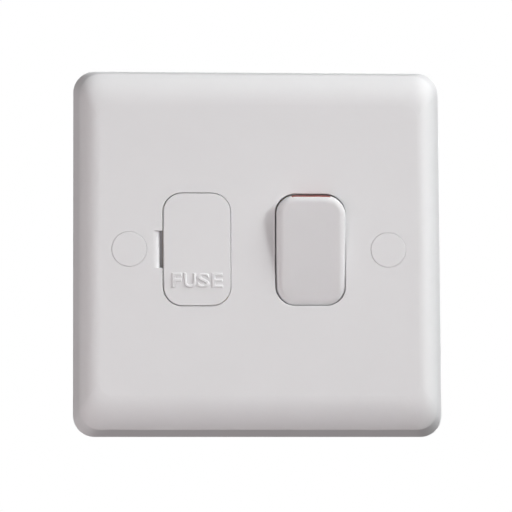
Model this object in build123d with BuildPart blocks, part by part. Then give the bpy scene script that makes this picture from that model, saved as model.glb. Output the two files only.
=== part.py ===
from build123d import *
import os
from math import cos, radians, sin, sqrt, tan

# Switched fused spur unit for a single wall box, in millimetres.
# The origin is the centre of the plate's back, on the wall plane. +Z is up, +X is to the right as seen
# from the room, and the front faces -Y. A height is measured from the wall plane towards the room, and
# a depth from the wall plane into the box.

os.makedirs("parts", exist_ok=True)

# Face plate
plate_width = 86.0
plate_height = 86.0
plate_depth = 7.5
plate_corner_radius = 5.0
plate_wall = 2.4
rim_height = 4.4
rim_draft = 1.3
rim_wall = 2.4
roll_side_width = 4.6
roll_end_width = 7.6
roll_corner_radius = 3.0
roll_sections = 6
hollow_step = 2.6
opening_corner_radius = 4.6
opening_edge_radius = 0.15
rib_thickness = 1.4
rib_height = 2.0

# Fixing screws and their push-in caps
fixing_spacing = 60.3
fixing_thread_radius = 1.75
fixing_shank_radius = 1.4
fixing_head_radius = 3.4
fixing_head_height = 1.9
fixing_length = 25.0
fixing_clearance = 0.4
fixing_seat_height = 3.3
cap_radius = 4.1
cap_clearance = 0.05
cap_proud = 0.08
cap_face_thickness = 1.2
cap_skirt_wall = 0.8
cap_skirt_length = 0.8
cap_edge_radius = 0.25
cap_boss_wall = 1.5
cap_boss_height = 0.8

# Rocker switch
rocker_x = 12.06
rocker_opening_width = 16.4
rocker_opening_height = 26.25
rocker_side_clearance = 0.19
rocker_side_play = 0.11
rocker_end_clearance = 0.15
rocker_tilt = 7.5
rocker_face_height = 3.8
rocker_crown = 0.3
rocker_skirt = 2.0
rocker_wall = 1.6
rocker_corner_radius = 4.5
rocker_edge_radius = 1.6
rocker_sections = 4
trunnion_radius = 1.2
trunnion_length = 1.5
trunnion_clearance = 0.06
flash_width = 9.0
flash_height = 2.6
flash_base = 0.4
flash_depth = 0.6

# Contact set: two poles, each a see-saw contact tipped by a sprung plunger
pole_spacing = 8.2
barrel_radius = 2.3
barrel_length = 7.5
plunger_radius = 1.45
plunger_length = 7.1
plunger_clearance = 0.1
plunger_gap = 0.1
spring_radius = 1.15
spring_wire_radius = 0.2
spring_turns = 6
fulcrum_depth = 8.9
fulcrum_thickness = 1.0
fulcrum_gap = 0.05
seesaw_tilt = 6.5
seesaw_width = 4.4
seesaw_length = 13.4
seesaw_thickness = 0.8
button_radius = 1.5
button_height = 0.7
button_reach = 5.3
button_gap = 0.05
strip_thickness = 0.8
strip_width = 2.4
contact_width = 3.2
stop_width = 1.9
stop_length = 2.5
stop_gap = 0.1

# Fuse and its carrier
fuse_x = -14.41
fuse_opening_width = 15.93
fuse_opening_height = 26.6
carrier_clearance = 0.18
carrier_side_play = 0.06
carrier_proud = 0.06
carrier_panel = 2.0
carrier_edge_radius = 0.2
carrier_travel = 12.5
carrier_stop_gap = 0.1
cheek_inner = 5.7
cheek_thickness = 1.2
cheek_height = 10.0
hook_reach = 1.6
hook_length = 2.0
web_thickness = 1.5
web_spacing = 8.0
web_mouth = 5.5
web_reach = 1.6
fuse_length = 25.4
fuse_tube_radius = 2.95
fuse_tube_bore = 1.7
fuse_cap_radius = 3.175
fuse_cap_length = 6.0
fuse_cap_end = 0.5
fuse_clearance = 0.1
fuse_panel_gap = 1.3
clip_length = 4.5
clip_offset = 9.95
clip_thickness = 0.8
clip_reach = 2.6
clip_grip = 5.0
clip_flare = 0.6
clip_leg_width = 4.0
clip_foot_length = 3.0
notch_width = 2.3
notch_height = 8.8
notch_ramp = 1.75
notch_ramp_depth = 0.8
notch_depth = 2.2
notch_corner_radius = 0.2

# Rear housing
housing_width = 47.0
housing_height = 58.0
housing_corner_radius = 3.0
housing_floor = 2.0
housing_edge = 0.8
chamber_depth = 13.0
chamber_gap = 0.4
switch_chamber_height = 28.0
fuse_chamber_height = 29.0
core_width = 4.4
core_height = 15.0
core_z = 3.5
partition_thickness = 1.2
partition_depth = 2.5
cradle_height = 6.0
pedestal_width = 4.0
slot_clearance = 0.15
terminal_row_step = 3.0
terminal_row_width = 44.0
terminal_row_height = 12.4
terminal_row_radius = 2.0

# Assembly screws
assembly_x = -1.75
assembly_boss_radius = 2.7
assembly_boss_depth = 4.0
assembly_clearance = 0.2
assembly_screw_radius = 1.45
assembly_screw_length = 13.0
assembly_pilot_clearance = 0.05
assembly_head_radius = 2.6
assembly_head_height = 1.8
assembly_head_clearance = 0.3
assembly_seat_depth = 9.0

# Terminals
terminal_z = 22.25
terminal_width = 6.2
terminal_length = 7.5
terminal_front = 3.5
terminal_depth = 9.5
terminal_clearance = 0.15
wire_bore_radius = 2.1
wire_bore_depth = 7.7
wire_entry_radius = 2.6
wire_entry_flare = 0.8
clamp_radius = 1.85
clamp_clearance = 0.08
clamp_length = 4.5
clamp_head_radius = 2.75
clamp_head_height = 2.2
clamp_recess = 1.3
clamp_well_clearance = 0.35
slot_width = 0.9
slot_depth = 0.9
earth_spacing = 8.0
post_width = 2.6
post_height = 4.2


def front(height):
    """Plane parallel to the wall, this far in front of it, that looks into the room."""
    return Plane.XZ.offset(height)


def behind(depth):
    """Plane parallel to the wall, this far into the box, that looks into the room."""
    return Plane.XZ.offset(-depth)


# Places that several pieces share. The rocker and the carrier both lie a little to the right in their
# openings
plate_inner = plate_depth - plate_wall
rocker_opening_x = rocker_x - rocker_side_play
fuse_opening_x = fuse_x - carrier_side_play
fixing_places = ((-fixing_spacing / 2, 0), (fixing_spacing / 2, 0))
cap_recess_radius = cap_radius + cap_clearance
live_x = rocker_x - pole_spacing / 2
neutral_x = rocker_x + pole_spacing / 2
strip_depth = chamber_depth - strip_thickness
terminal_back = terminal_front + terminal_depth
terminal_inner = terminal_z - terminal_length / 2
terminal_outer = terminal_z + terminal_length / 2
housing_back = chamber_depth + housing_floor
row_back = housing_back + terminal_row_step
terminals = {
    "live_supply_terminal": (live_x, terminal_z),
    "neutral_supply_terminal": (neutral_x, terminal_z),
    "live_load_terminal": (fuse_x, terminal_z),
    "neutral_load_terminal": (neutral_x, -terminal_z),
}
earth_places = [(fuse_x - earth_spacing / 2, -terminal_z), (fuse_x + earth_spacing / 2, -terminal_z)]
earth_width = earth_spacing + terminal_width
wire_places = list(terminals.values()) + earth_places
assembly_places = ((assembly_x, terminal_z), (assembly_x, -terminal_z))

# The rocker's own plane runs through its pivot and faces out of the rocker, tipped to the pressed position
rocker_width = rocker_opening_width - 2 * rocker_side_clearance
rocker_swing = rocker_opening_height / 2 - rocker_end_clearance
rocker_angle = radians(rocker_tilt)
rocker_frame = Plane(
    origin=(rocker_x, -plate_inner, 0),
    x_dir=(1, 0, 0),
    z_dir=(0, -cos(rocker_angle), -sin(rocker_angle)),
)

# Each see-saw contact tips the other way about its fulcrum
seesaw_angle = radians(seesaw_tilt)
seesaw_facing = (0, -cos(seesaw_angle), sin(seesaw_angle))
poles = {
    "live": (live_x, Plane((live_x, fulcrum_depth, 0), x_dir=(1, 0, 0), z_dir=seesaw_facing)),
    "neutral": (neutral_x, Plane((neutral_x, fulcrum_depth, 0), x_dir=(1, 0, 0), z_dir=seesaw_facing)),
}


# Face plate: a hollow moulding with a drafted rim and edges rolled over to a flat front
roll_drop = plate_depth - rim_height


def roll_inset(roll_width, below_front):
    """Inset from the rim of a round roll of this width, at this distance below the flat front."""
    radius = (roll_width**2 + roll_drop**2) / (2 * roll_drop)
    reach = sqrt(2 * radius * below_front - below_front**2)
    return rim_draft + roll_width - reach


notch_edge = fuse_opening_x - fuse_opening_width / 2
notch_start = notch_edge - notch_width
with BuildPart() as notch_cut:
    with BuildSketch(Plane.XY.offset(-notch_height / 2)):
        with BuildLine():
            ramp = TangentArc(
                (notch_start, -plate_depth),
                (notch_start + notch_ramp, -plate_depth + notch_ramp_depth),
                tangent=(1, 0),
            )
            Polyline(
                ramp @ 1,
                (notch_start + notch_ramp, -plate_depth + notch_depth),
                (notch_edge + notch_width, -plate_depth + notch_depth),
                (notch_edge + notch_width, -plate_depth),
                ramp @ 0,
            )
        make_face()
    extrude(amount=notch_height)
    with BuildSketch(front(plate_depth - notch_depth)):
        with Locations((notch_edge, 0)):
            RectangleRounded(2 * notch_width, notch_height, notch_corner_radius)
    extrude(amount=notch_depth, mode=Mode.INTERSECT)

with BuildPart() as face_plate:
    for height, inset in ((0, 0), (rim_height, rim_draft)):
        with BuildSketch(front(height)):
            RectangleRounded(plate_width - 2 * inset, plate_height - 2 * inset, plate_corner_radius)
    loft(ruled=True)
    for section in range(roll_sections + 1):
        share = (1 - section / roll_sections) ** 2
        side_inset = roll_inset(roll_side_width, roll_drop * share)
        end_inset = roll_inset(roll_end_width, roll_drop * share)
        corner = roll_corner_radius + (plate_corner_radius - roll_corner_radius) * share
        with BuildSketch(front(plate_depth - roll_drop * share)):
            RectangleRounded(plate_width - 2 * side_inset, plate_height - 2 * end_inset, corner)
    loft()

    # Hollow back, narrower towards the front so that the wall follows the rolled edge
    step_inset = rim_wall + rim_draft * hollow_step / rim_height
    roll_end_inset = rim_draft + roll_end_width
    roll_side_inset = rim_draft + roll_side_width + rim_wall / 2
    hollow_steps = (
        (0, rim_wall, rim_wall),
        (hollow_step, step_inset, step_inset),
        (plate_inner, roll_side_inset, roll_end_inset),
    )
    for lower, upper in zip(hollow_steps, hollow_steps[1:]):
        for height, side_inset, end_inset in (lower, upper):
            with BuildSketch(front(height)):
                hollow_width = plate_width - 2 * side_inset
                hollow_height = plate_height - 2 * end_inset
                RectangleRounded(hollow_width, hollow_height, roll_corner_radius)
        loft(ruled=True, mode=Mode.SUBTRACT)

    # Openings for the rocker and the fuse carrier
    with BuildSketch(front(plate_inner)):
        with Locations((rocker_opening_x, 0)):
            RectangleRounded(rocker_opening_width, rocker_opening_height, opening_corner_radius)
        with Locations((fuse_opening_x, 0)):
            RectangleRounded(fuse_opening_width, fuse_opening_height, opening_corner_radius)
    extrude(amount=plate_wall, mode=Mode.SUBTRACT)
    front_face = face_plate.faces().filter_by(Axis.Y).sort_by(Axis.Y)[0]
    fillet(front_face.inner_wires().edges(), opening_edge_radius)

    # Screwdriver notch beside the carrier: a ramp that rolls over into a slot along the opening
    add(notch_cut.part, mode=Mode.SUBTRACT)

    # Ribs from the fixing bosses to the rim
    rib_length = plate_width / 2 - rim_wall - fixing_spacing / 2
    with BuildSketch(front(plate_inner - rib_height)):
        for side in (-1, 1):
            with Locations((side * (fixing_spacing / 2 + rib_length / 2), 0)):
                Rectangle(rib_length, rib_thickness)
    extrude(amount=rib_height)

    # Bosses for the fixing screws, sunk from the front for the heads and caps
    with BuildSketch(front(cap_boss_height)):
        with Locations(*fixing_places):
            Circle(cap_recess_radius + cap_boss_wall)
    extrude(amount=plate_inner - cap_boss_height)
    with BuildSketch(front(fixing_seat_height)):
        with Locations(*fixing_places):
            Circle(cap_recess_radius)
    extrude(amount=plate_depth - fixing_seat_height, mode=Mode.SUBTRACT)
    with BuildSketch(front(cap_boss_height)):
        with Locations(*fixing_places):
            Circle(fixing_thread_radius + fixing_clearance)
    extrude(amount=fixing_seat_height - cap_boss_height, mode=Mode.SUBTRACT)

    # Posts that hold the terminals down in the housing, and bosses for the assembly screws
    with BuildSketch(behind(terminal_front)):
        with Locations(*wire_places):
            Rectangle(post_width, post_height)
    extrude(amount=plate_inner + terminal_front)
    with BuildSketch(behind(assembly_boss_depth)):
        with Locations(*assembly_places):
            Circle(assembly_boss_radius)
            Circle(assembly_screw_radius + assembly_pilot_clearance, mode=Mode.SUBTRACT)
    extrude(amount=plate_inner + assembly_boss_depth)

    # Half-round bearings for the rocker's trunnions
    with BuildSketch(Plane.YZ.offset(rocker_x)):
        with Locations((-plate_inner, 0)):
            Circle(trunnion_radius + trunnion_clearance)
    extrude(amount=rocker_width / 2 + trunnion_length + trunnion_clearance, both=True, mode=Mode.SUBTRACT)
face_plate.part.label = "face_plate"
export_step(face_plate.part, "parts/face_plate.step")


# Fixing screws: pan heads in the sunk bosses, a waisted shank through the plate and a thread into the box
with BuildPart() as fixing_screws:
    with BuildSketch(front(fixing_seat_height)):
        with Locations(*fixing_places):
            Circle(fixing_head_radius)
    extrude(amount=fixing_head_height)
    fillet(fixing_screws.edges().group_by(Axis.Y)[0], fixing_head_height / 3)
    with BuildSketch(front(fixing_seat_height + fixing_head_height)):
        with Locations(*fixing_places):
            Rectangle(slot_width, 2 * fixing_head_radius)
    extrude(amount=-slot_depth, mode=Mode.SUBTRACT)
    with BuildSketch(front(cap_boss_height / 2)):
        with Locations(*fixing_places):
            Circle(fixing_shank_radius)
    extrude(amount=fixing_seat_height - cap_boss_height / 2)
    with BuildSketch(behind(fixing_length - fixing_seat_height)):
        with Locations(*fixing_places):
            Circle(fixing_thread_radius)
    extrude(amount=fixing_length - fixing_seat_height + cap_boss_height / 2)
fixing_screws.part.label = "fixing_screws"
export_step(fixing_screws.part, "parts/fixing_screws.step")


# Screw caps: shallow cups pressed into the bosses, a hair proud of the plate
for name, place in zip(("left_screw_cap", "right_screw_cap"), fixing_places):
    with BuildPart() as screw_cap:
        with BuildSketch(front(plate_depth - cap_face_thickness - cap_skirt_length)):
            with Locations(place):
                Circle(cap_radius)
        extrude(amount=cap_face_thickness + cap_skirt_length + cap_proud)
        fillet(screw_cap.edges().group_by(Axis.Y)[0], cap_edge_radius)
        with BuildSketch(front(plate_depth - cap_face_thickness)):
            with Locations(place):
                Circle(cap_radius - cap_skirt_wall)
        extrude(amount=-cap_skirt_length, mode=Mode.SUBTRACT)
    screw_cap.part.label = name
    export_step(screw_cap.part, f"parts/{name}.step")


# Rocker: a crowned hollow cap whose ends swing about the trunnions, with a barrel for each plunger
rocker_top = rocker_face_height + rocker_crown
rocker_reach = sqrt(rocker_swing**2 - rocker_face_height**2)
rocker_roof = rocker_face_height - rocker_wall
barrel_places = ((-pole_spacing / 2, 0), (pole_spacing / 2, 0))
bore_top = rocker_roof - rocker_wall
with BuildPart() as rocker_moulding:
    for section in range(rocker_sections + 1):
        level = -rocker_skirt + (rocker_skirt + rocker_top) * section / rocker_sections
        with BuildSketch(rocker_frame.offset(level)):
            RectangleRounded(rocker_width, 2 * sqrt(rocker_swing**2 - level**2), rocker_corner_radius)
    loft()
    with BuildSketch(Plane(rocker_frame.origin, x_dir=rocker_frame.y_dir, z_dir=rocker_frame.x_dir)):
        with BuildLine():
            crown = ThreePointArc(
                (-rocker_swing, rocker_face_height), (0, rocker_top), (rocker_swing, rocker_face_height)
            )
            Polyline(
                crown @ 1,
                (rocker_swing, 2 * rocker_top),
                (-rocker_swing, 2 * rocker_top),
                crown @ 0,
            )
        make_face()
    extrude(amount=rocker_width, both=True, mode=Mode.SUBTRACT)
    face_axis = Axis(rocker_frame.origin, rocker_frame.z_dir)
    pressed_face = rocker_moulding.faces().sort_by(face_axis)[-1]
    fillet(pressed_face.outer_wire().edges(), rocker_edge_radius)
    with BuildSketch(rocker_frame.offset(-rocker_skirt)):
        RectangleRounded(
            rocker_width - 2 * rocker_wall,
            2 * (rocker_reach - rocker_wall),
            rocker_corner_radius - rocker_wall,
        )
    extrude(amount=rocker_skirt + rocker_roof, mode=Mode.SUBTRACT)
    with BuildSketch(rocker_frame.offset(-barrel_length)):
        with Locations(*barrel_places):
            Circle(barrel_radius)
    extrude(amount=barrel_length + rocker_roof)
    with BuildSketch(rocker_frame.offset(-barrel_length)):
        with Locations(*barrel_places):
            Circle(plunger_radius + plunger_clearance)
    extrude(amount=barrel_length + bore_top, mode=Mode.SUBTRACT)
    for side in (-1, 1):
        inside = rocker_frame.origin + Vector(side * (rocker_width / 2 - rocker_wall), 0, 0)
        with BuildSketch(Plane(inside, x_dir=rocker_frame.y_dir, z_dir=(side, 0, 0))):
            Circle(trunnion_radius)
        extrude(amount=rocker_wall + trunnion_length)

# The red flash is set into the rocker's top end, where it shows only while the switch is on
flash_origin = rocker_frame.origin + rocker_frame.y_dir * (rocker_reach - flash_depth)
flash_plane = Plane(flash_origin, x_dir=(1, 0, 0), z_dir=rocker_frame.y_dir)
with BuildPart() as rocker:
    add(rocker_moulding.part)
    with BuildSketch(flash_plane):
        with Locations((0, -flash_base - flash_height / 2)):
            Rectangle(flash_width, flash_height)
    extrude(amount=rocker_swing, mode=Mode.SUBTRACT)
rocker.part.label = "rocker"
export_step(rocker.part, "parts/rocker.step")

with BuildPart() as rocker_flash:
    add(rocker_moulding.part)
    with BuildSketch(flash_plane):
        with Locations((0, -flash_base - flash_height / 2)):
            Rectangle(flash_width, flash_height)
    extrude(amount=rocker_swing, mode=Mode.INTERSECT)
rocker_flash.part.label = "rocker_flash"
export_step(rocker_flash.part, "parts/rocker_flash.step")


# Plungers and their springs, in the rocker's barrels
plunger_tip = fulcrum_depth - seesaw_thickness + plate_inner - plunger_gap
spring_length = bore_top + plunger_tip - plunger_length
for pole, place in zip(poles, barrel_places):
    with BuildPart() as plunger:
        with BuildSketch(rocker_frame.offset(-plunger_tip)):
            with Locations(place):
                Circle(plunger_radius)
        extrude(amount=plunger_length)
        tip_edge = plunger.edges().sort_by(face_axis)[0]
        fillet(tip_edge, 0.9 * plunger_radius)
    plunger.part.label = f"{pole}_plunger"
    export_step(plunger.part, f"parts/{pole}_plunger.step")

    seat = rocker_frame.offset(bore_top - spring_length + spring_wire_radius)
    with BuildPart() as plunger_spring:
        with BuildLine():
            coil = Helix(
                pitch=(spring_length - 2 * spring_wire_radius) / spring_turns,
                height=spring_length - 2 * spring_wire_radius,
                radius=spring_radius,
                center=seat.from_local_coords((place[0], place[1], 0)),
                direction=rocker_frame.z_dir,
            )
        with BuildSketch(Plane(coil @ 0, z_dir=coil % 0)):
            Circle(spring_wire_radius)
        sweep()
    plunger_spring.part.label = f"{pole}_plunger_spring"
    export_step(plunger_spring.part, f"parts/{pole}_plunger_spring.step")


# See-saw contacts, each with a button riveted near its upper end
for pole, (x, frame) in poles.items():
    with BuildPart() as seesaw:
        with BuildSketch(frame):
            RectangleRounded(seesaw_width, seesaw_length, seesaw_thickness)
        extrude(amount=seesaw_thickness)
    seesaw.part.label = f"{pole}_seesaw_contact"
    export_step(seesaw.part, f"parts/{pole}_seesaw_contact.step")

    with BuildPart() as moving_button:
        with BuildSketch(frame):
            with Locations((0, button_reach)):
                Circle(button_radius)
        extrude(amount=-button_height)
        fillet(moving_button.edges().sort_by(Axis.Y)[-1], button_height / 2)
    moving_button.part.label = f"{pole}_moving_button"
    export_step(moving_button.part, f"parts/{pole}_moving_button.step")


# Fixed contacts: strips from the supply terminals that carry the facing buttons
button_drop = (button_reach + button_radius) * sin(seesaw_angle)
button_tip = fulcrum_depth + button_height * cos(seesaw_angle) + button_drop
fixed_button_depth = button_tip + button_gap
fixed_strip_depth = fixed_button_depth + button_height
for pole, (x, frame) in poles.items():
    with BuildPart() as fixed_contact:
        strip_start = button_reach - button_radius
        with BuildSketch(behind(fixed_strip_depth + strip_thickness)):
            with Locations((x, (strip_start + terminal_inner) / 2)):
                Rectangle(contact_width, terminal_inner - strip_start)
        extrude(amount=strip_thickness)
    fixed_contact.part.label = f"{pole}_fixed_contact"
    export_step(fixed_contact.part, f"parts/{pole}_fixed_contact.step")

with BuildPart() as fixed_buttons:
    with BuildSketch(behind(fixed_strip_depth)):
        with Locations((live_x, button_reach), (neutral_x, button_reach)):
            Circle(button_radius)
    extrude(amount=button_height)
fixed_buttons.part.label = "fixed_buttons"
export_step(fixed_buttons.part, "parts/fixed_buttons.step")


# Fulcrum links: strips on the housing floor, folded up under each see-saw. The live one turns across to
# the fuse, and the neutral one runs straight down to its load terminal
clip_foot_x = fuse_x + clip_leg_width / 2
link_ends = {"live": -clip_offset - strip_width / 2, "neutral": -terminal_inner}
for pole, (x, frame) in poles.items():
    with BuildPart() as fulcrum_link:
        with BuildSketch(behind(chamber_depth)):
            with Locations((x, (fulcrum_thickness / 2 + link_ends[pole]) / 2)):
                Rectangle(strip_width, fulcrum_thickness / 2 - link_ends[pole])
            if pole == "live":
                with Locations(((clip_foot_x + x) / 2, -clip_offset)):
                    Rectangle(x - clip_foot_x, strip_width)
        extrude(amount=strip_thickness)
        with BuildSketch(behind(strip_depth)):
            with Locations((x, 0)):
                Rectangle(contact_width, fulcrum_thickness)
        extrude(amount=strip_depth - fulcrum_depth - fulcrum_gap)
        ridge_edges = fulcrum_link.edges().filter_by(Axis.X).group_by(Axis.Y)[0]
        fillet(ridge_edges, 0.45 * fulcrum_thickness)
    fulcrum_link.part.label = f"{pole}_fulcrum_link"
    export_step(fulcrum_link.part, f"parts/{pole}_fulcrum_link.step")


# Fuse carrier: a front panel a hair proud of the plate, two cheeks that slide in the housing, a hook that
# stops at the plate, and two webs that snap round the fuse
panel_back = plate_depth - carrier_panel
fuse_height = panel_back - fuse_panel_gap - fuse_cap_radius
cheek_outer = cheek_inner + cheek_thickness
hook_depth = carrier_travel + carrier_stop_gap - plate_inner
cheek_depth = hook_depth + hook_length
with BuildPart() as fuse_carrier:
    with BuildSketch(front(panel_back)):
        with Locations((fuse_x, 0)):
            RectangleRounded(
                fuse_opening_width - 2 * carrier_clearance,
                fuse_opening_height - 2 * carrier_clearance,
                opening_corner_radius - carrier_clearance,
            )
    extrude(amount=carrier_panel + carrier_proud)
    fillet(fuse_carrier.edges().group_by(Axis.Y)[0], carrier_edge_radius)
    with BuildSketch(behind(cheek_depth)):
        for side in (-1, 1):
            with Locations((fuse_x + side * (cheek_inner + cheek_thickness / 2), 0)):
                Rectangle(cheek_thickness, cheek_height)
    extrude(amount=cheek_depth + panel_back)
    with BuildSketch(Plane.XY.offset(-cheek_height / 2)):
        with BuildLine():
            Polyline(
                (fuse_x + cheek_outer, hook_depth),
                (fuse_x + cheek_outer + hook_reach, hook_depth),
                (fuse_x + cheek_outer, cheek_depth),
                close=True,
            )
        make_face()
    extrude(amount=cheek_height)
    for side in (-1, 1):
        with BuildSketch(Plane.XY.offset(side * web_spacing / 2 - web_thickness / 2)):
            with Locations((fuse_x, (web_reach - fuse_height - panel_back) / 2)):
                Rectangle(2 * cheek_inner, panel_back - fuse_height + web_reach)
            with Locations((fuse_x, -fuse_height)):
                Circle(fuse_tube_radius + fuse_clearance, mode=Mode.SUBTRACT)
            with Locations((fuse_x, -fuse_height + fuse_tube_radius)):
                Rectangle(web_mouth, 2 * fuse_tube_radius, mode=Mode.SUBTRACT)
        extrude(amount=web_thickness)
fuse_carrier.part.label = "fuse_carrier"
export_step(fuse_carrier.part, "parts/fuse_carrier.step")


# Cartridge fuse: a ceramic tube between two brass end caps
with BuildPart() as fuse_tube:
    with BuildSketch(Plane.XY.offset(-fuse_length / 2 + fuse_cap_end)):
        with Locations((fuse_x, -fuse_height)):
            Circle(fuse_tube_radius)
            Circle(fuse_tube_bore, mode=Mode.SUBTRACT)
    extrude(amount=fuse_length - 2 * fuse_cap_end)
fuse_tube.part.label = "fuse_tube"
export_step(fuse_tube.part, "parts/fuse_tube.step")

with BuildPart() as fuse_end_caps:
    for side in (-1, 1):
        with BuildSketch(Plane.XY.offset(side * fuse_length / 2)):
            with Locations((fuse_x, -fuse_height)):
                Circle(fuse_cap_radius)
        extrude(amount=-side * fuse_cap_length)
    outer_rims = fuse_end_caps.edges().group_by(Axis.Z)
    fillet(outer_rims[0] + outer_rims[-1], fuse_cap_end)
    with BuildSketch(Plane.XY.offset(-fuse_length / 2 + fuse_cap_end)):
        with Locations((fuse_x, -fuse_height)):
            Circle(fuse_tube_radius)
    extrude(amount=fuse_length - 2 * fuse_cap_end, mode=Mode.SUBTRACT)
fuse_end_caps.part.label = "fuse_end_caps"
export_step(fuse_end_caps.part, "parts/fuse_end_caps.step")


# Fuse clips: sprung forks that the end caps slide into. The load clip runs up to its terminal, and the
# supply clip stands on a leg whose foot meets the live fulcrum link
clip_depth = clip_grip - fuse_height
clip_line = fuse_cap_radius + fuse_clearance + clip_thickness / 2
clip_leg_face = clip_offset + clip_thickness / 2
clip_tip = -fuse_height - clip_reach
flare_start = -fuse_height - clip_reach / 2
for name, z in (("load_fuse_clip", clip_offset), ("supply_fuse_clip", -clip_offset)):
    with BuildPart() as fuse_clip:
        with BuildSketch(Plane.XY.offset(z - clip_length / 2)):
            with BuildLine():
                Polyline(
                    (fuse_x - clip_line - clip_flare, clip_tip),
                    (fuse_x - clip_line, flare_start),
                    (fuse_x - clip_line, clip_depth + clip_thickness / 2),
                    (fuse_x + clip_line, clip_depth + clip_thickness / 2),
                    (fuse_x + clip_line, flare_start),
                    (fuse_x + clip_line + clip_flare, clip_tip),
                )
            trace(line_width=clip_thickness)
        extrude(amount=clip_length)
        if z > 0:
            with BuildSketch(behind(clip_depth + clip_thickness)):
                with Locations((fuse_x, (clip_offset + terminal_inner) / 2)):
                    Rectangle(clip_leg_width, terminal_inner - clip_offset)
            extrude(amount=clip_thickness)
        else:
            with BuildSketch(behind(chamber_depth)):
                with Locations((fuse_x, -clip_offset)):
                    Rectangle(clip_leg_width, clip_thickness)
            extrude(amount=chamber_depth - clip_depth)
            with BuildSketch(behind(chamber_depth)):
                with Locations((fuse_x, -clip_leg_face + clip_foot_length / 2)):
                    Rectangle(clip_leg_width, clip_foot_length)
            extrude(amount=strip_thickness)
    fuse_clip.part.label = name
    export_step(fuse_clip.part, f"parts/{name}.step")


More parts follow.
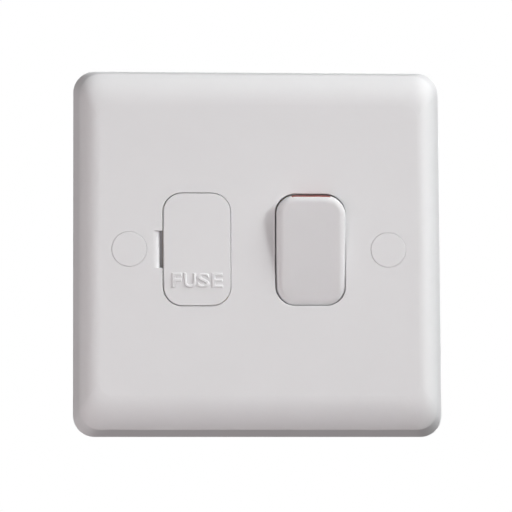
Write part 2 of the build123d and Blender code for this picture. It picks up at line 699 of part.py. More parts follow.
# Rear housing: a box behind the plate with a chamber for the switch, one for the fuse, and pockets for
# the terminals in two raised rows
fuse_chamber_left = fuse_x - cheek_outer - chamber_gap
fuse_chamber_right = fuse_x + cheek_outer + hook_reach + chamber_gap
switch_chamber_reach = rocker_width / 2 + trunnion_length + chamber_gap
cradle_width = trunnion_length + chamber_gap - rocker_side_clearance
core_x = (fuse_chamber_right + rocker_x - switch_chamber_reach) / 2
contact_backing = fixed_strip_depth + strip_thickness
stop_depth = fulcrum_depth + (button_reach + stop_length / 2) * tan(seesaw_angle) + stop_gap
rows = ((0, terminal_z), (0, -terminal_z))
with BuildPart() as rear_housing:
    with BuildSketch(behind(housing_back)):
        RectangleRounded(housing_width, housing_height, housing_corner_radius)
    extrude(amount=housing_back + plate_inner)
    with BuildSketch(behind(row_back)):
        with Locations(*rows):
            RectangleRounded(terminal_row_width, terminal_row_height, terminal_row_radius)
    extrude(amount=terminal_row_step)
    chamfer(rear_housing.faces().sort_by(Axis.Y).filter_by(Axis.Y)[-2:].edges(), housing_edge)

    # Chambers, and a core in the wall between them
    with BuildSketch(behind(chamber_depth)):
        with Locations((rocker_x, 0)):
            Rectangle(2 * switch_chamber_reach, switch_chamber_height)
        with Locations(((fuse_chamber_left + fuse_chamber_right) / 2, 0)):
            Rectangle(fuse_chamber_right - fuse_chamber_left, fuse_chamber_height)
        with Locations((core_x, core_z)):
            Rectangle(core_width, core_height)
    extrude(amount=chamber_depth + plate_inner, mode=Mode.SUBTRACT)

    # Cradles that close the trunnion bearings, and the partition and stops between the poles
    with BuildSketch(behind(chamber_depth)):
        for side in (-1, 1):
            with Locations((rocker_x + side * (switch_chamber_reach - cradle_width / 2), 0)):
                Rectangle(cradle_width, cradle_height)
    extrude(amount=chamber_depth + plate_inner)
    with BuildSketch(Plane.YZ.offset(rocker_x)):
        with Locations((-plate_inner, 0)):
            Circle(trunnion_radius + trunnion_clearance)
    extrude(amount=rocker_width / 2 + trunnion_length + trunnion_clearance, both=True, mode=Mode.SUBTRACT)
    with BuildSketch(behind(chamber_depth)):
        with Locations((rocker_x, 0)):
            Rectangle(partition_thickness, switch_chamber_height)
    extrude(amount=chamber_depth - partition_depth)
    with BuildSketch(behind(chamber_depth)):
        with Locations((rocker_x, -button_reach)):
            Rectangle(partition_thickness + 2 * stop_width, stop_length)
    extrude(amount=chamber_depth - stop_depth)

    # Seats under the fixed contacts and under the fuse clips
    with BuildSketch(behind(chamber_depth)):
        with Locations((live_x, button_reach), (neutral_x, button_reach)):
            Rectangle(contact_width, 2 * button_radius)
    extrude(amount=chamber_depth - contact_backing)
    with BuildSketch(behind(chamber_depth)):
        for side in (-1, 1):
            with Locations((fuse_x, side * (clip_leg_face + fuse_chamber_height / 2) / 2)):
                Rectangle(pedestal_width, fuse_chamber_height / 2 - clip_leg_face)
    extrude(amount=chamber_depth - clip_depth - clip_thickness)

    # Pockets for the terminals, open to the plate, and for the plate's assembly bosses
    with BuildSketch(behind(terminal_back)):
        with Locations(*terminals.values()):
            Rectangle(terminal_width + 2 * terminal_clearance, terminal_length + 2 * terminal_clearance)
        with Locations((fuse_x, -terminal_z)):
            Rectangle(earth_width + 2 * terminal_clearance, terminal_length + 2 * terminal_clearance)
    extrude(amount=terminal_back + plate_inner, mode=Mode.SUBTRACT)
    with BuildSketch(behind(assembly_boss_depth)):
        with Locations(*assembly_places):
            Circle(assembly_boss_radius + assembly_clearance)
    extrude(amount=assembly_boss_depth + plate_inner, mode=Mode.SUBTRACT)

    # Slots that let the strips through the walls
    with BuildSketch(behind(contact_backing)):
        for x in (live_x, neutral_x):
            with Locations((x, (button_reach + terminal_inner) / 2)):
                Rectangle(contact_width + 2 * slot_clearance, terminal_inner - button_reach)
    extrude(amount=contact_backing + plate_inner, mode=Mode.SUBTRACT)
    with BuildSketch(behind(clip_depth + clip_thickness)):
        with Locations((fuse_x, (clip_offset + terminal_inner) / 2)):
            Rectangle(clip_leg_width + 2 * slot_clearance, terminal_inner - clip_offset)
    extrude(amount=clip_depth + clip_thickness + plate_inner, mode=Mode.SUBTRACT)
    with BuildSketch(behind(chamber_depth)):
        with Locations((neutral_x, -(switch_chamber_height / 2 + terminal_inner) / 2)):
            Rectangle(strip_width + 2 * slot_clearance, terminal_inner - switch_chamber_height / 2)
        with Locations((core_x, -clip_offset)):
            slot_length = rocker_x - switch_chamber_reach - fuse_chamber_right
            Rectangle(slot_length, strip_width + 2 * slot_clearance)
    extrude(amount=chamber_depth + plate_inner, mode=Mode.SUBTRACT)

    # Wells for the clamp and assembly screws, and flared wire entries through the ends
    with BuildSketch(behind(row_back)):
        with Locations(*wire_places):
            Circle(clamp_head_radius + clamp_well_clearance)
    extrude(amount=row_back - terminal_back, mode=Mode.SUBTRACT)
    with BuildSketch(behind(row_back)):
        with Locations(*assembly_places):
            Circle(assembly_head_radius + assembly_head_clearance)
    extrude(amount=row_back - assembly_seat_depth, mode=Mode.SUBTRACT)
    with BuildSketch(behind(assembly_seat_depth)):
        with Locations(*assembly_places):
            Circle(assembly_screw_radius + assembly_clearance)
    extrude(amount=assembly_seat_depth - assembly_boss_depth, mode=Mode.SUBTRACT)
    for x, z in wire_places:
        outward = 1 if z > 0 else -1
        end_centre = (x, wire_bore_depth, outward * housing_height / 2)
        end = Plane(end_centre, x_dir=(1, 0, 0), z_dir=(0, 0, outward))
        with BuildSketch(end):
            Circle(wire_entry_radius)
        extrude(amount=terminal_outer - housing_height / 2, mode=Mode.SUBTRACT)
        with BuildSketch(end):
            Circle(wire_entry_radius + wire_entry_flare)
        extrude(amount=-wire_entry_flare, taper=45, mode=Mode.SUBTRACT)
rear_housing.part.label = "rear_housing"
export_step(rear_housing.part, "parts/rear_housing.step")


# Terminals: brass blocks with a wire bore from the end and a clamp screw from behind. The earth block
# takes two wires side by side
blocks = {name: ([place], place, terminal_width) for name, place in terminals.items()}
blocks["earth_terminal"] = (earth_places, (fuse_x, -terminal_z), earth_width)
for name, (places, middle, width) in blocks.items():
    with BuildPart() as terminal:
        with BuildSketch(behind(terminal_back)):
            with Locations(middle):
                Rectangle(width, terminal_length)
        extrude(amount=terminal_depth)
        with BuildSketch(Plane.XY.offset(middle[1])):
            for x, z in places:
                with Locations((x, wire_bore_depth)):
                    Circle(wire_bore_radius)
        extrude(amount=terminal_length / 2, both=True, mode=Mode.SUBTRACT)
        with BuildSketch(behind(terminal_back)):
            with Locations(*places):
                Circle(clamp_radius + clamp_clearance)
        extrude(amount=terminal_back - wire_bore_depth, mode=Mode.SUBTRACT)
    terminal.part.label = name
    export_step(terminal.part, f"parts/{name}.step")


# Clamp screws, backed out to let a wire in
head_back = row_back - clamp_recess
with BuildPart() as clamp_screws:
    with BuildSketch(behind(head_back)):
        with Locations(*wire_places):
            Circle(clamp_head_radius)
    extrude(amount=clamp_head_height)
    with BuildSketch(behind(head_back)):
        with Locations(*wire_places):
            Rectangle(2 * clamp_head_radius, slot_width)
    extrude(amount=slot_depth, mode=Mode.SUBTRACT)
    with BuildSketch(behind(head_back - clamp_head_height)):
        with Locations(*wire_places):
            Circle(clamp_radius)
    extrude(amount=clamp_length)
clamp_screws.part.label = "clamp_screws"
export_step(clamp_screws.part, "parts/clamp_screws.step")


# Assembly screws, sunk deep in the housing, that pull it against the plate
with BuildPart() as assembly_screws:
    with BuildSketch(behind(assembly_seat_depth)):
        with Locations(*assembly_places):
            Circle(assembly_screw_radius)
    extrude(amount=assembly_screw_length)
    with BuildSketch(behind(assembly_seat_depth)):
        with Locations(*assembly_places):
            Circle(assembly_head_radius)
    extrude(amount=-assembly_head_height)
    with BuildSketch(behind(assembly_seat_depth + assembly_head_height)):
        with Locations(*assembly_places):
            Rectangle(2 * assembly_head_radius, slot_width)
    extrude(amount=slot_depth, mode=Mode.SUBTRACT)
assembly_screws.part.label = "assembly_screws"
export_step(assembly_screws.part, "parts/assembly_screws.step")
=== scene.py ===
from math import cos, pi, radians, sin

import bmesh
import bpy
from mathutils import Matrix, Vector


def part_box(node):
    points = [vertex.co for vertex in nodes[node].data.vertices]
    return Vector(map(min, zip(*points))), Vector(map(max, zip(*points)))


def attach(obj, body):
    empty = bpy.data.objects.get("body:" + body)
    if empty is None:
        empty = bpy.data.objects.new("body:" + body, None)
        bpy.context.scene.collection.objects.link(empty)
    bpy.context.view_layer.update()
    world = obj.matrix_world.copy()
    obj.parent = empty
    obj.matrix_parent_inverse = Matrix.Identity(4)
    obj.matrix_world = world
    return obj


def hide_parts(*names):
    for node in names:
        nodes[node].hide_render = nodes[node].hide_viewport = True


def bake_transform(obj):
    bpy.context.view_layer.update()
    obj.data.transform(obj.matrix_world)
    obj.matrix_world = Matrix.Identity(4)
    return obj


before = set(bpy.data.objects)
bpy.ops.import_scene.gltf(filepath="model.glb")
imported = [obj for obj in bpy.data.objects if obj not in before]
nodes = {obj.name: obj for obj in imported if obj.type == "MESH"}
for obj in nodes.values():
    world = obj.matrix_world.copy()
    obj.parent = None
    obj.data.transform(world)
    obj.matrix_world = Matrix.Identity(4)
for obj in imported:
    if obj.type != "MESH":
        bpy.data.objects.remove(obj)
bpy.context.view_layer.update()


# Face plate: the square cover that lies on the wall, with rolled edges, two openings and a
# screwdriver notch. It is compression-moulded from white urea powder, and the polished tool leaves
# it smooth, with a soft even gloss.
MM = 0.001


def linear(hex_colour):
    """Linear RGBA of an sRGB hex colour."""
    channels = [int(hex_colour[i : i + 2], 16) / 255 for i in (1, 3, 5)]
    return [c / 12.92 if c <= 0.04045 else ((c + 0.055) / 1.055) ** 2.4 for c in channels] + [1.0]


def add_node(tree, kind, inputs, **settings):
    """Adds a shader node with its settings, and links or sets each of its inputs."""
    node = tree.nodes.new(kind)
    for name, value in settings.items():
        setattr(node, name, value)
    for socket, value in inputs.items():
        if isinstance(value, bpy.types.NodeSocket):
            tree.links.new(value, node.inputs[socket])
        else:
            node.inputs[socket].default_value = value
    return node


def clouded_finish(name, pale, deep, ior, gloss, skin_mm, skin_depth_mm):
    """A moulded, glazed or painted finish: two close shades in slow clouds, under a fine skin."""
    flow_mm = 9  # clouds that the powder or melt leaves as it flows in the tool
    material = bpy.data.materials.new(name)
    material.use_nodes = True
    tree = material.node_tree
    tree.nodes.clear()
    place = add_node(tree, "ShaderNodeTexCoord", {}).outputs["Object"]
    cloud = add_node(
        tree,
        "ShaderNodeTexNoise",
        {"Vector": place, "Scale": 1 / (flow_mm * MM), "Detail": 3.0},
    )
    shade = add_node(
        tree,
        "ShaderNodeMix",
        {"Factor": cloud.outputs["Fac"], "A": linear(pale), "B": linear(deep)},
        data_type="RGBA",
    )
    # A moulding's real skin is finer than a tenth of a millimetre, and is drawn coarser to show
    skin = add_node(
        tree,
        "ShaderNodeTexNoise",
        {"Vector": place, "Scale": 1 / (skin_mm * MM), "Detail": 2.0},
    )
    rough = add_node(
        tree,
        "ShaderNodeMapRange",
        {"Value": skin.outputs["Fac"], "To Min": gloss[0], "To Max": gloss[1]},
    )
    bump = add_node(
        tree,
        "ShaderNodeBump",
        {"Height": skin.outputs["Fac"], "Strength": 1.0, "Distance": skin_depth_mm * MM},
    )
    surface = add_node(
        tree,
        "ShaderNodeBsdfPrincipled",
        {
            "Base Color": shade.outputs["Result"],
            "Roughness": rough.outputs["Result"],
            "Normal": bump.outputs["Normal"],
            "IOR": ior,
        },
    )
    add_node(tree, "ShaderNodeOutputMaterial", {"Surface": surface.outputs["BSDF"]})
    return material


def dress(material, *names):
    """Gives CAD nodes this material."""
    for name in names:
        nodes[name].data.materials.clear()
        nodes[name].data.materials.append(material)


white_urea = clouded_finish(
    "white_urea",
    pale="#eaebec",
    deep="#e7e8e9",
    ior=1.55,
    gloss=(0.5, 0.6),
    skin_mm=0.35,
    skin_depth_mm=0.002,
)
dress(white_urea, "face_plate")


# Fixing screws: two slotted pan-head screws that hold the unit to its wall box, cold-headed from
# steel and zinc plated, which makes them bright and a little uneven. The thread is rolled up from a
# thinner shank, so the part through the plate is waisted.
def streaked_metal(name, pale, deep, gloss, streak_mm, along, tarnish_mm):
    """A drawn, rolled or plated metal: streaks along one axis in its gloss, and a slow tarnish."""
    streak_ratio = 20  # a streak's length for its width
    streak_depth = 0.004 * MM
    material = bpy.data.materials.new(name)
    material.use_nodes = True
    tree = material.node_tree
    tree.nodes.clear()
    place = add_node(tree, "ShaderNodeTexCoord", {}).outputs["Object"]
    # Real die and rolling lines are hundredths of a millimetre apart, and are drawn coarser to show
    stretch = Vector((1, 1, 1)) / (streak_mm * MM)
    stretch["xyz".index(along)] /= streak_ratio
    lines = add_node(tree, "ShaderNodeMapping", {"Vector": place, "Scale": stretch})
    streak = add_node(
        tree,
        "ShaderNodeTexNoise",
        {"Vector": lines.outputs["Vector"], "Scale": 1.0, "Detail": 3.0},
    )
    tarnish = add_node(
        tree,
        "ShaderNodeTexNoise",
        {"Vector": place, "Scale": 1 / (tarnish_mm * MM), "Detail": 4.0},
    )
    shade = add_node(
        tree,
        "ShaderNodeMix",
        {"Factor": tarnish.outputs["Fac"], "A": linear(pale), "B": linear(deep)},
        data_type="RGBA",
    )
    rough = add_node(
        tree,
        "ShaderNodeMapRange",
        {"Value": streak.outputs["Fac"], "To Min": gloss[0], "To Max": gloss[1]},
    )
    bump = add_node(
        tree,
        "ShaderNodeBump",
        {"Height": streak.outputs["Fac"], "Strength": 1.0, "Distance": streak_depth},
    )
    surface = add_node(
        tree,
        "ShaderNodeBsdfPrincipled",
        {
            "Base Color": shade.outputs["Result"],
            "Metallic": 1.0,
            "Roughness": rough.outputs["Result"],
            "Normal": bump.outputs["Normal"],
        },
    )
    add_node(tree, "ShaderNodeOutputMaterial", {"Surface": surface.outputs["BSDF"]})
    return material


def cut_flat(shape, geometry, point, away):
    """Cuts part of a shape off on the side that away points to, and closes the cut."""
    cut = bmesh.ops.bisect_plane(
        shape, geom=geometry, plane_co=point, plane_no=away, clear_outer=True
    )["geom_cut"]
    edges = [item for item in cut if isinstance(item, bmesh.types.BMEdge)]
    bmesh.ops.edgeloop_fill(shape, edges=edges)


def add_round(shape, radius, bottom, top):
    """Adds a closed round bar along Z, and returns its vertices."""
    return bmesh.ops.create_cone(
        shape,
        cap_ends=True,
        segments=56,
        radius1=radius,
        radius2=radius,
        depth=top - bottom,
        matrix=Matrix.Translation((0, 0, (top + bottom) / 2)),
    )["verts"]


def slotted_screws(name, places, head, waist, thread, slot):
    """Slotted screws, each with the seat of its head at a place and its head along a direction.

    Each place is a seat, a direction and the slot's turn in degrees. head is a radius, height and
    rounding, waist a radius and length, thread a radius, pitch and length from the seat, and slot a
    width and depth."""
    head_radius, head_height, head_round = head
    waist_radius, waist_length = waist
    thread_radius, pitch, length = thread
    slot_width, slot_depth = slot
    shape = bmesh.new()

    # Thread: one tooth, with its levels in shares of the pitch, swept along the screw and cut
    # square at both ends. It starts below the end, at a height where no cut meets a vertex.
    steps_per_turn = 20
    spare_turns = 3
    start = -length - 1.53 * pitch
    root_radius = thread_radius - 0.61 * pitch  # the depth of a standard thread
    tooth = (
        (root_radius, 0),
        (thread_radius, 0.4),
        (thread_radius, 0.52),
        (root_radius, 0.92),
        (root_radius, 1),
    )
    corners = [shape.verts.new((radius, 0, start + level * pitch)) for radius, level in tooth]
    edges = [shape.edges.new(pair) for pair in zip(corners, corners[1:])]
    turns = int((length - waist_length) / pitch) + spare_turns
    bmesh.ops.spin(
        shape,
        geom=corners + edges,
        axis=(0, 0, 1),
        dvec=(0, 0, pitch / steps_per_turn),
        angle=2 * pi * turns,
        steps=steps_per_turn * turns,
    )
    bmesh.ops.remove_doubles(shape, verts=shape.verts, dist=pitch / 200)
    for level, facing in ((-waist_length, 1), (-length, -1)):
        geometry = shape.verts[:] + shape.edges[:] + shape.faces[:]
        cut_flat(shape, geometry, (0, 0, level), (0, 0, facing))

    # Head: a disc with two half-round lands, which leave the slot between them, on a waist that
    # runs into the thread
    overlap = slot_depth / 10
    slot_floor = head_height - slot_depth
    add_round(shape, head_radius, 0, slot_floor)
    add_round(shape, waist_radius, -waist_length - overlap, overlap)
    for side in (-1, 1):
        land = add_round(shape, head_radius, slot_floor - overlap, head_height)
        land_edges = list({edge for vert in land for edge in vert.link_edges})
        land_faces = list({face for vert in land for face in vert.link_faces})
        slot_wall = (side * slot_width / 2, 0, 0)
        cut_flat(shape, land + land_edges + land_faces, slot_wall, (-side, 0, 0))
    top_level = head_height - overlap / 2
    off_slot = slot_width / 2 + overlap / 2
    rim = [
        edge
        for edge in shape.edges
        if all(vert.co.z > top_level for vert in edge.verts)
        and any(abs(vert.co.x) > off_slot for vert in edge.verts)
    ]
    bmesh.ops.bevel(
        shape,
        geom=rim,
        offset=head_round,
        affect="EDGES",
        segments=4,
        profile=0.5,
        material=-1,
    )
    bmesh.ops.recalc_face_normals(shape, faces=shape.faces)

    mesh = bpy.data.meshes.new(name)
    shape.to_mesh(mesh)
    shape.free()
    group = bmesh.new()
    for seat, direction, slot_turn in places:
        before = len(group.verts)
        group.from_mesh(mesh)
        group.verts.ensure_lookup_table()
        upright = Vector((0, 0, 1)).rotation_difference(Vector(direction)).to_matrix().to_4x4()
        turned = upright @ Matrix.Rotation(radians(slot_turn), 4, "Z")
        bmesh.ops.transform(
            group, matrix=Matrix.Translation(seat) @ turned, verts=group.verts[before:]
        )
    group.to_mesh(mesh)
    group.free()
    return bpy.data.objects.new(name, mesh)


def fit_piece(piece, body, material, sharp_degrees):
    """Shades a finished piece, and lets it ride on a body."""
    piece.data.materials.append(material)
    for face in piece.data.polygons:
        face.use_smooth = True
    piece.data.set_sharp_from_angle(angle=radians(sharp_degrees))
    bpy.context.scene.collection.objects.link(piece)
    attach(piece, body)


zinc_steel = streaked_metal(
    "zinc_plated_steel",
    pale="#d3d5d8",
    deep="#b4b7bd",
    gloss=(0.22, 0.4),
    streak_mm=0.2,
    along="y",
    tarnish_mm=0.6,
)
screw_slot = (0.9 * MM, 0.9 * MM)
screw_sharp = 35
fixing_low, fixing_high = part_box("fixing_screws")
fixing_head = (3.4 * MM, 1.9 * MM, 0.6 * MM)
fixing_seat = fixing_low.y + fixing_head[1]
fixing_screws = slotted_screws(
    "fixing_screws_threaded",
    [
        ((fixing_low.x + fixing_head[0], fixing_seat, 0), (0, -1, 0), 0),
        ((fixing_high.x - fixing_head[0], fixing_seat, 0), (0, -1, 0), 0),
    ],
    head=fixing_head,
    waist=(1.4 * MM, 2.9 * MM),
    thread=(1.75 * MM, 0.6 * MM, fixing_high.y - fixing_seat),
    slot=screw_slot,
)
fit_piece(fixing_screws, "base", zinc_steel, sharp_degrees=screw_sharp)
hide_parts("fixing_screws")


# Screw caps: push-in covers over the two fixing screws, moulded in the plate's own urea so that
# they match it. They stand a hair proud of the plate, with almost no gap round them.
dress(white_urea, "left_screw_cap", "right_screw_cap")


# Rear housing: one moulding of matte white thermoset behind the plate, which carries every live
# piece. Its skin is a little coarser and duller than the plate's, and the tool leaves raised
# letters on its back that say which wire goes where.
def raised_words(name, words, facing, rise, rounding, bold):
    """One piece of raised words with pillowed edges.

    Each word is its letters, its middle, its height and its width, and without a width it keeps the
    font's proportions. facing turns flat lettering to the way that the words face."""
    letter_spacing = 1.06
    rounding_steps = 4
    foot = rise / 6  # the thin part that stays sunk in the face that bears the words
    group = bmesh.new()
    for letters, middle, height, width in words:
        curve = bpy.data.curves.new("raised_word", "FONT")
        curve.body = letters
        curve.space_character = letter_spacing
        text = bpy.data.objects.new("raised_word", curve)
        bpy.context.scene.collection.objects.link(text)
        bpy.context.view_layer.update()
        outline = bpy.data.meshes.new_from_object(text)
        xs = [vert.co.x for vert in outline.vertices]
        ys = [vert.co.y for vert in outline.vertices]
        bpy.data.meshes.remove(outline)
        scale_y = (height - 2 * bold) / (max(ys) - min(ys))
        scale_x = (width - 2 * bold) / (max(xs) - min(xs)) if width else scale_y
        curve.offset = (bold - rounding) / scale_y
        curve.bevel_depth = rounding / scale_y
        curve.bevel_resolution = rounding_steps
        bpy.context.view_layer.update()
        mesh = bpy.data.meshes.new_from_object(text)
        bpy.data.objects.remove(text)
        bpy.data.curves.remove(curve)
        centre = Vector(((max(xs) + min(xs)) / 2, (max(ys) + min(ys)) / 2, 0))
        size = Matrix.Diagonal((scale_x, scale_y, scale_y * rise / rounding, 1))
        mesh.transform(size @ Matrix.Translation(-centre))
        for vert in mesh.vertices:
            vert.co.z = max(vert.co.z, -foot)
        mesh.transform(Matrix.Translation(middle) @ facing)
        group.from_mesh(mesh)
        bpy.data.meshes.remove(mesh)
    joined = bpy.data.meshes.new(name)
    group.to_mesh(joined)
    group.free()
    return bpy.data.objects.new(name, joined)


housing_white = clouded_finish(
    "thermoset_moulding",
    pale="#e4e1da",
    deep="#dcd8d0",
    ior=1.5,
    gloss=(0.5, 0.62),
    skin_mm=0.5,
    skin_depth_mm=0.006,
)
dress(housing_white, "rear_housing")
middles = {name: (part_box(name)[0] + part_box(name)[1]) / 2 for name in nodes}
live_x = middles["live_supply_terminal"].x
neutral_x = middles["neutral_load_terminal"].x
supply_x = (live_x + middles["neutral_supply_terminal"].x) / 2
load_x = middles["live_load_terminal"].x
terminal_step = 3.0 * MM  # how far the terminal rows stand out of the housing's back
mark_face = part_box("rear_housing")[1].y - terminal_step
letter_z, letter_height = 13.2 * MM, 2.6 * MM
word_z, word_height = 9.4 * MM, 2.0 * MM
marks = (
    ("L", live_x, letter_z, letter_height),
    ("N", neutral_x, letter_z, letter_height),
    ("SUPPLY", supply_x, word_z, word_height),
    ("L", load_x, letter_z, letter_height),
    ("LOAD", load_x, word_z, word_height),
    ("N", neutral_x, -letter_z, letter_height),
    ("LOAD", neutral_x, -word_z, word_height),
    ("E", load_x, -letter_z, letter_height),
)
to_room = Matrix.Rotation(pi / 2, 4, "X")
to_wall = Matrix.Rotation(pi, 4, "Z") @ to_room
housing_marks = raised_words(
    "housing_marks",
    [(letters, (x, mark_face, z), height, None) for letters, x, z, height in marks],
    to_wall,
    rise=0.3 * MM,
    rounding=0.1 * MM,
    bold=0.06 * MM,
)
fit_piece(housing_marks, "base", housing_white, sharp_degrees=50)


# Assembly screws: two coarse self-tapping screws, sunk deep in the housing, that pull it against
# the plate's bosses. They are zinc plated as the fixing screws are.
assembly_low, assembly_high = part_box("assembly_screws")
assembly_head = (2.6 * MM, 1.8 * MM, 0.5 * MM)
assembly_seat = assembly_high.y - assembly_head[1]
assembly_x = (assembly_low.x + assembly_high.x) / 2
assembly_screws = slotted_screws(
    "assembly_screws_threaded",
    [
        ((assembly_x, assembly_seat, assembly_high.z - assembly_head[0]), (0, 1, 0), 90),
        ((assembly_x, assembly_seat, assembly_low.z + assembly_head[0]), (0, 1, 0), 90),
    ],
    head=assembly_head,
    waist=(1.0 * MM, 0.6 * MM),
    thread=(1.45 * MM, 0.7 * MM, assembly_seat - assembly_low.y),
    slot=screw_slot,
)
fit_piece(assembly_screws, "base", zinc_steel, sharp_degrees=screw_sharp)
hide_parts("assembly_screws")


# Terminals: blocks sawn from extruded brass bar, dropped into the housing's pockets. The die leaves
# fine lines along the bar, which the eye reads as a soft streaked shine.
bar_brass = streaked_metal(
    "extruded_brass",
    pale="#d8b76a",
    deep="#b8924a",
    gloss=(0.25, 0.45),
    streak_mm=0.15,
    along="z",
    tarnish_mm=3.0,
)
single_terminals = (
    "live_supply_terminal",
    "neutral_supply_terminal",
    "live_load_terminal",
    "neutral_load_terminal",
)
dress(bar_brass, "earth_terminal", *single_terminals)


# Clamp screws: six cheese-head screws in the terminals, backed out to let the wires in. Their
# machined heads have a small rounding at the edge, and they are zinc plated.
clamp_low, clamp_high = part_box("clamp_screws")
clamp_head = (2.75 * MM, 2.2 * MM, 0.25 * MM)
clamp_seat = clamp_high.y - clamp_head[1]
earth_step = Vector((4.0 * MM, 0, 0))
clamp_places = [middles[name] for name in single_terminals]
clamp_places += [middles["earth_terminal"] - earth_step, middles["earth_terminal"] + earth_step]
clamp_screws = slotted_screws(
    "clamp_screws_threaded",
    [((place.x, clamp_seat, place.z), (0, 1, 0), 90) for place in clamp_places],
    head=clamp_head,
    waist=(1.4 * MM, 0.4 * MM),
    thread=(1.85 * MM, 0.7 * MM, clamp_seat - clamp_low.y),
    slot=screw_slot,
)
fit_piece(clamp_screws, "base", zinc_steel, sharp_degrees=screw_sharp)
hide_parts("clamp_screws")


# Contact strips, fulcrum links and see-saw contacts: blanked from rolled brass strip and dropped
# into the housing. Rolling marks run along each strip, and it shines more than the sawn blocks.
strip_brass = streaked_metal(
    "rolled_brass",
    pale="#d9b768",
    deep="#c09a4e",
    gloss=(0.2, 0.38),
    streak_mm=0.12,
    along="z",
    tarnish_mm=5.0,
)
dress(
    strip_brass,
    "live_fixed_contact",
    "neutral_fixed_contact",
    "live_fulcrum_link",
    "neutral_fulcrum_link",
    "live_seesaw_contact",
    "neutral_seesaw_contact",
)


# Contact buttons: silver alloy rivets on the strips, with the dull even face that silver soon gets.
# They are upset cold, so they have no streaks to speak of.
contact_silver = streaked_metal(
    "contact_silver",
    pale="#d6d4ce",
    deep="#b9b5ad",
    gloss=(0.35, 0.5),
    streak_mm=0.1,
    along="y",
    tarnish_mm=0.8,
)
dress(contact_silver, "live_moving_button", "neutral_moving_button", "fixed_buttons")


# Rocker: the switch's crowned cap, injection-moulded in white polycarbonate a shade greyer than the
# plate and as smooth. The flash is a red insert that is pressed into its top end. Its colour is
# painted darker and duller than its own red, as painted shade from the gap it sits in.
rocker_white = clouded_finish(
    "rocker_polycarbonate",
    pale="#e5e5e6",
    deep="#e2e2e3",
    ior=1.58,
    gloss=(0.48, 0.58),
    skin_mm=0.4,
    skin_depth_mm=0.002,
)
dress(rocker_white, "rocker")
# The flash's two colours are its red darkened with painted shade from the gap it sits in
flash_red_with_painted_shade = clouded_finish(
    "flash_polycarbonate_painted_shade",
    pale="#8f3a34",
    deep="#83322d",
    ior=1.58,
    gloss=(0.4, 0.5),
    skin_mm=0.4,
    skin_depth_mm=0.003,
)
dress(flash_red_with_painted_shade, "rocker_flash")


# Plungers and springs: nylon pins in the rocker's barrels, each pushed out by a coil of drawn steel
# wire. Bare nylon is milky, and the wire has fine die lines along it. In the unit a coil shortens
# as its plunger is pushed in. Here each coil is a welded copy of its spring at one length.
nylon = clouded_finish(
    "natural_nylon",
    pale="#ece6d6",
    deep="#e2dbc8",
    ior=1.53,
    gloss=(0.4, 0.55),
    skin_mm=0.4,
    skin_depth_mm=0.004,
)
dress(nylon, "live_plunger", "neutral_plunger")
spring_steel = streaked_metal(
    "drawn_spring_steel",
    pale="#b9bbbd",
    deep="#8f9295",
    gloss=(0.25, 0.4),
    streak_mm=0.1,
    along="y",
    tarnish_mm=0.8,
)
dress(spring_steel, "live_plunger_spring", "neutral_plunger_spring")
weld = 0.0005 * MM
for pole in ("live", "neutral"):
    spring = f"{pole}_plunger_spring"
    wire = nodes[spring].data.copy()
    wire_shape = bmesh.new()
    wire_shape.from_mesh(wire)
    bmesh.ops.remove_doubles(wire_shape, verts=wire_shape.verts, dist=weld)
    wire_shape.to_mesh(wire)
    wire_shape.free()
    coil = bpy.data.objects.new(f"{pole}_plunger_coil", wire)
    bpy.context.scene.collection.objects.link(coil)
    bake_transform(coil)
    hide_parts(spring)


# Fuse clips: forks pressed from spring brass that grip the fuse's caps. The hard strip is a little
# redder than the soft brass of the terminals, with rolling marks along each leg.
spring_brass = streaked_metal(
    "spring_brass",
    pale="#d2aa62",
    deep="#b78c48",
    gloss=(0.2, 0.36),
    streak_mm=0.12,
    along="y",
    tarnish_mm=4.0,
)
dress(spring_brass, "load_fuse_clip", "supply_fuse_clip")


# Cartridge fuse: a glazed ceramic tube between two end caps of nickel-washed brass. The glaze is
# glassy and slightly uneven, and the caps show the lines of the tool that drew them.
ceramic = clouded_finish(
    "glazed_ceramic",
    pale="#eee6d6",
    deep="#e6dcc8",
    ior=1.52,
    gloss=(0.15, 0.25),
    skin_mm=1.2,
    skin_depth_mm=0.004,
)
dress(ceramic, "fuse_tube")
cap_metal = streaked_metal(
    "nickel_washed_brass",
    pale="#d8cda8",
    deep="#c4b484",
    gloss=(0.15, 0.3),
    streak_mm=0.15,
    along="z",
    tarnish_mm=3.0,
)
dress(cap_metal, "fuse_end_caps")


# Fuse carrier: the drawer that holds the fuse, moulded in the plate's urea. The word FUSE stands up
# from its panel in soft rounded letters, which come from the same tool.
dress(white_urea, "fuse_carrier")
panel_low, panel_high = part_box("fuse_carrier")
fuse_height = 3.48 * MM
fuse_x = middles["fuse_tube"].x + 0.06 * MM
fuse_z = (panel_low.z + panel_high.z) / 2 - 7.28 * MM
# Each letter, the middle of it along the word, and its width in millimetres
fuse_letters = (("F", -4.82, 2.22), ("U", -1.75, 2.86), ("S", 1.4, 2.7), ("E", 4.6, 2.64))
fuse_lettering = raised_words(
    "fuse_lettering",
    [
        (letter, (fuse_x + along * MM, panel_low.y, fuse_z), fuse_height, width * MM)
        for letter, along, width in fuse_letters
    ],
    to_room,
    rise=0.3 * MM,
    rounding=0.28 * MM,
    bold=0.15 * MM,
)
fit_piece(fuse_lettering, "fuse_carrier", white_urea, sharp_degrees=60)


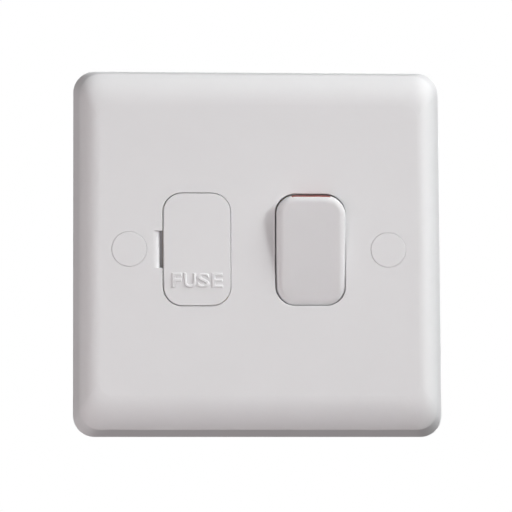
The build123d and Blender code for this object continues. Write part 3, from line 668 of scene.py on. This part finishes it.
# Studio: a pale floor well below the unit, since it hangs on a wall, small gridded lights that skim
# the plate from the upper right, warmer fill from the left and below, and a white surround.
floor_half = 1.5
floor_drop = 1.8
floor_mesh = bpy.data.meshes.new("studio_floor")
floor_shape = bmesh.new()
bmesh.ops.create_grid(floor_shape, x_segments=1, y_segments=1, size=floor_half)
bmesh.ops.translate(floor_shape, verts=floor_shape.verts, vec=(0, 0, -floor_drop))
floor_shape.to_mesh(floor_mesh)
floor_shape.free()
floor = bpy.data.objects.new("studio_floor", floor_mesh)
bpy.context.scene.collection.objects.link(floor)
floor_paint = clouded_finish(
    "floor_paint",
    pale="#e9e8e6",
    deep="#e4e3e1",
    ior=1.45,
    gloss=(0.6, 0.75),
    skin_mm=4.0,
    skin_depth_mm=0.02,
)
floor_mesh.materials.append(floor_paint)
# The floor is far below, and its own wash of light stays off the unit
floor.visible_diffuse = False
floor.visible_glossy = False

white_light = (1.0, 1.0, 1.0)
warm_light = (1.0, 0.88, 0.89)
grid_spread = radians(25)
open_spread = radians(180)


def area_light(name, around, lift, power, size=0.35, spread=grid_spread, colour=white_light):
    """A square light aimed at the plate: degrees round it from its right side, and out from it."""
    distance = 1.3
    data = bpy.data.lights.new(name, "AREA")
    data.size = size
    data.energy = power
    data.color = colour
    data.spread = spread
    light = bpy.data.objects.new(name, data)
    light.visible_camera = False
    bpy.context.scene.collection.objects.link(light)
    flat = cos(radians(lift)) * distance
    light.location = (
        flat * cos(radians(around)),
        -sin(radians(lift)) * distance,
        flat * sin(radians(around)),
    )
    light.rotation_euler = light.location.to_track_quat("Z", "Y").to_euler()
    return light


area_light("key", around=25, lift=30, power=0.287)
area_light("key_low", around=45, lift=15, power=0.172)
area_light("key_skim", around=65, lift=8, power=0.131)
area_light("left_fill", around=200, lift=50, power=0.1)
area_light(
    "softbox", around=218, lift=44, power=9.85, size=1.8, spread=open_spread, colour=warm_light
)
area_light("back_key", around=40, lift=-78, power=0.24)
area_light("back_fill", around=180, lift=-85, power=0.15)
floor_wash = area_light(
    "floor_wash", around=0, lift=0, power=45.0, size=2 * floor_half, spread=open_spread
)
floor_wash.location = (0, 0, -floor_drop / 3)
floor_wash.rotation_euler = (0, 0, 0)

# The room gives little light, but polished metal mirrors its pale walls, and the camera sees white
room_light = 0.015
room_mirrored = 0.3
world = bpy.data.worlds.new("white_surround")
world.use_nodes = True
sky = world.node_tree
sky.nodes.clear()
seen = add_node(sky, "ShaderNodeLightPath", {})
room = add_node(
    sky,
    "ShaderNodeMapRange",
    {"Value": seen.outputs["Is Glossy Ray"], "To Min": room_light, "To Max": room_mirrored},
)
surround = add_node(
    sky,
    "ShaderNodeBackground",
    {"Color": (1, 1, 1, 1), "Strength": room.outputs["Result"]},
)
backdrop = add_node(sky, "ShaderNodeBackground", {"Color": (1, 1, 1, 1), "Strength": 1.0})
either = add_node(
    sky,
    "ShaderNodeMixShader",
    {
        0: seen.outputs["Is Camera Ray"],
        1: surround.outputs["Background"],
        2: backdrop.outputs["Background"],
    },
)
add_node(sky, "ShaderNodeOutputWorld", {"Surface": either.outputs["Shader"]})
bpy.context.scene.world = world
bpy.context.scene.view_settings.view_transform = "Standard"


# Camera: a long lens a little to the left of the plate and below it, as the photo was taken. It is
# turned by a fraction of a degree, and the plate lies a hair off the middle of the picture.
camera_distance = 0.85
camera_left = radians(3.9)
camera_below = radians(7.45)
camera_roll = radians(-0.31)
picture_width = 119.9 * MM
aim = Vector((-0.21 * MM, 0, -0.54 * MM))
lens = bpy.data.cameras.new("camera")
lens.sensor_width = 36.0
lens.lens = lens.sensor_width * camera_distance / picture_width
camera = bpy.data.objects.new("camera", lens)
bpy.context.scene.collection.objects.link(camera)
towards_camera = Vector(
    (
        -sin(camera_left) * cos(camera_below),
        -cos(camera_left) * cos(camera_below),
        -sin(camera_below),
    )
)
camera.location = aim + towards_camera * camera_distance
level = towards_camera.to_track_quat("Z", "Y").to_matrix()
camera.rotation_euler = (level @ Matrix.Rotation(camera_roll, 3, "Z")).to_euler()
bpy.context.scene.camera = camera
